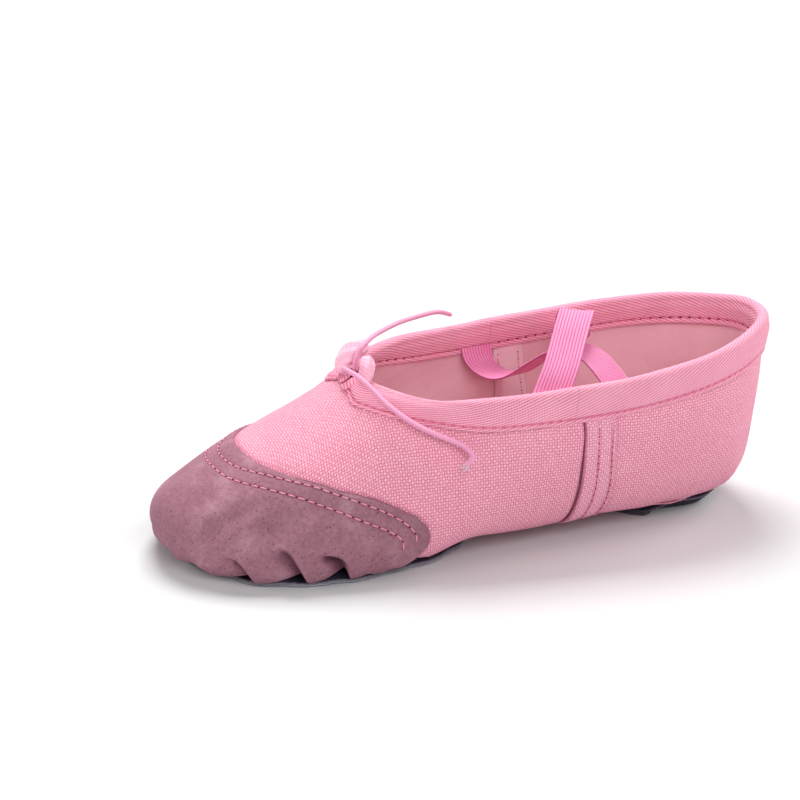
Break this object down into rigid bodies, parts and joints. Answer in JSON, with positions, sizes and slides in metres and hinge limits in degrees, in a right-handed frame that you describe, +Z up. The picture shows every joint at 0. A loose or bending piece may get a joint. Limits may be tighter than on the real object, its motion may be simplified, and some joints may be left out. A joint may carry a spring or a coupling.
{
  "type": "ballet slipper",
  "caption": "Soft canvas ballet slipper with a suede toe cap, rolled twill topline with elastic drawstring, crossing instep elastics and a split suede sole.",
  "frame": {"origin": "on the floor, under the middle of the slipper's length and width", "axes": "+Z up, toe towards -Y, heel towards +Y, +X on the wearer's left"},
  "size_m": [0.0735, 0.1991, 0.0674],
  "materials": {
    "canvas": "matt",
    "lining": "satin",
    "toe_suede": "matt",
    "seam_tape": "matt",
    "binding": "matt",
    "cord": "satin",
    "elastic": "satin",
    "sole_suede": "matt",
    "insole": "matt",
    "thread": "satin"
  },
  "bodies": {
    "heel_half": {"left_quarter_canvas": "canvas", "right_quarter_canvas": "canvas", "left_quarter_lining": "lining", "right_quarter_lining": "lining", "left_side_seam_tape": "seam_tape", "right_side_seam_tape": "seam_tape", "heel_seam_tape": "seam_tape", "topline_binding_rear": "binding", "drawstring_rear_run": "cord", "elastic_rear_ends": "elastic", "heel_outsole": "sole_suede", "heel_insole": "insole", "binding_stitching_rear": "thread", "side_seam_stitching": "thread"},
    "forefoot_half": {"vamp_canvas": "canvas", "vamp_lining": "lining", "toe_cap": "toe_suede", "topline_binding_front_left": "binding", "topline_binding_front_right": "binding", "binding_end_folds": "binding", "drawstring_front_runs": "cord", "elastic_front_ends": "elastic", "forefoot_outsole": "sole_suede", "forefoot_insole": "insole", "toe_cap_stitching": "thread", "binding_stitching_front": "thread"},
    "cord_exits": {"drawstring_exits": "cord"},
    "left_tail": {"drawstring_left_tail": "cord"},
    "right_tail": {"drawstring_right_tail": "cord"},
    "elastic_a": {"left_front_elastic": "elastic"},
    "elastic_b": {"right_front_elastic": "elastic"}
  },
  "joints": [
    {"name": "arch_flex", "type": "hinge", "parent": "heel_half", "child": "forefoot_half", "pos_m": [0, 0, 0.002], "axis": [1, 0, 0], "range_deg": [0, 40]},
    {"name": "elastic_a_swing", "type": "hinge", "parent": "heel_half", "child": "elastic_a", "pos_m": [0.0299, 0.012, 0.0414], "axis": [-0.8455, 0.5337, 0.0169], "range_deg": [-35, 5]},
    {"name": "elastic_b_swing", "type": "hinge", "parent": "heel_half", "child": "elastic_b", "pos_m": [-0.0302, 0.0165, 0.0412], "axis": [0.9339, 0.3572, 0.0155], "range_deg": [-30, 25]},
    {"name": "drawstring_pull", "type": "slide", "parent": "forefoot_half", "child": "cord_exits", "axis": [0, -0.6, 0.8], "range_m": [0, 0.012]},
    {"name": "left_tail_swing", "type": "hinge", "parent": "cord_exits", "child": "left_tail", "pos_m": [0.0036, -0.0413, 0.0544], "axis": [0.2707, -0.9627, 0], "range_deg": [0, 60]},
    {"name": "right_tail_swing", "type": "hinge", "parent": "cord_exits", "child": "right_tail", "pos_m": [-0.0002, -0.0352, 0.059], "axis": [0.7926, 0.6097, 0], "range_deg": [0, 50]}
  ]
}
